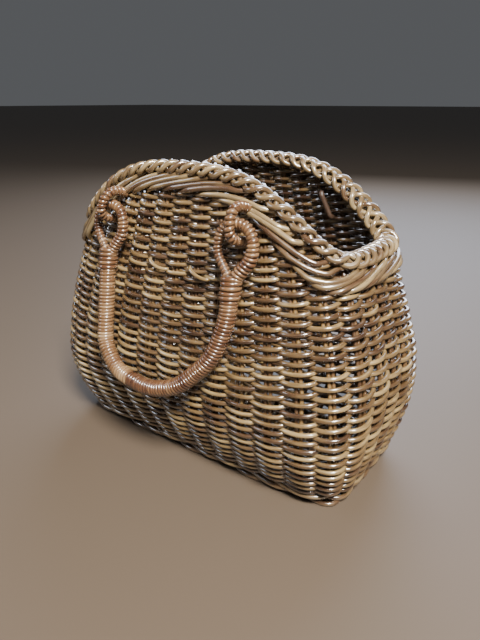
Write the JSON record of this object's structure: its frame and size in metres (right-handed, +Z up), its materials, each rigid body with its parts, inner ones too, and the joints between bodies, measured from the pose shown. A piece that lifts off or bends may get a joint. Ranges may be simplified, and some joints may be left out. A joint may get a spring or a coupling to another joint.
{
  "type": "woven wicker basket",
  "caption": "Woven wicker handbag basket with a bulging body, a saddle-shaped plaited rim and wrapped U handles that swing on staples.",
  "frame": {"origin": "on the floor under the middle of the basket", "axes": "+X along the basket towards its right end, +Y across it towards the rear handle, +Z up; the front handle is on the -Y side"},
  "size_m": [0.3292, 0.2184, 0.262],
  "materials": {
    "weave_rod": "glossy varnished wicker, honey to brown",
    "border_rod": "glossy varnished wicker",
    "stake_rod": "glossy varnished wicker, darker",
    "base_rod": "satin wicker",
    "handle_cane": "glossy wound cane, orange brown",
    "staple_cane": "glossy wound cane",
    "core_rod": "bare rod"
  },
  "bodies": {
    "basket": {"base_wale": "border_rod", "base_weave": "base_rod", "base_sticks": "base_rod", "front_stakes": "stake_rod", "rear_stakes": "stake_rod", "left_stakes": "stake_rod", "right_stakes": "stake_rod", "lower_weave": "weave_rod", "belly_weave": "weave_rod", "shoulder_weave": "weave_rod", "front_hump_weave": "weave_rod", "rear_hump_weave": "weave_rod", "roll_border": "border_rod", "plait_border": "border_rod", "front_left_staple_core": "core_rod", "front_left_staple_wrap": "staple_cane", "front_right_staple_core": "core_rod", "front_right_staple_wrap": "staple_cane", "rear_left_staple_core": "core_rod", "rear_left_staple_wrap": "staple_cane", "rear_right_staple_core": "core_rod", "rear_right_staple_wrap": "staple_cane"},
    "front_handle": {"front_handle_core": "core_rod", "front_handle_grip_wrap": "handle_cane", "front_handle_eye_rods": "core_rod", "front_handle_eye_wraps": "handle_cane", "front_handle_bindings": "handle_cane"},
    "rear_handle": {"rear_handle_core": "core_rod", "rear_handle_grip_wrap": "handle_cane", "rear_handle_eye_rods": "core_rod", "rear_handle_eye_wraps": "handle_cane", "rear_handle_bindings": "handle_cane"}
  },
  "joints": [
    {"name": "front_handle_swing", "type": "hinge", "parent": "basket", "child": "front_handle", "pos_m": [0, -0.07522, 0.222], "axis": [-1, 0, 0], "range_deg": [0, 172]},
    {"name": "rear_handle_swing", "type": "hinge", "parent": "basket", "child": "rear_handle", "pos_m": [0, 0.07522, 0.222], "axis": [1, 0, 0], "range_deg": [0, 172]}
  ]
}
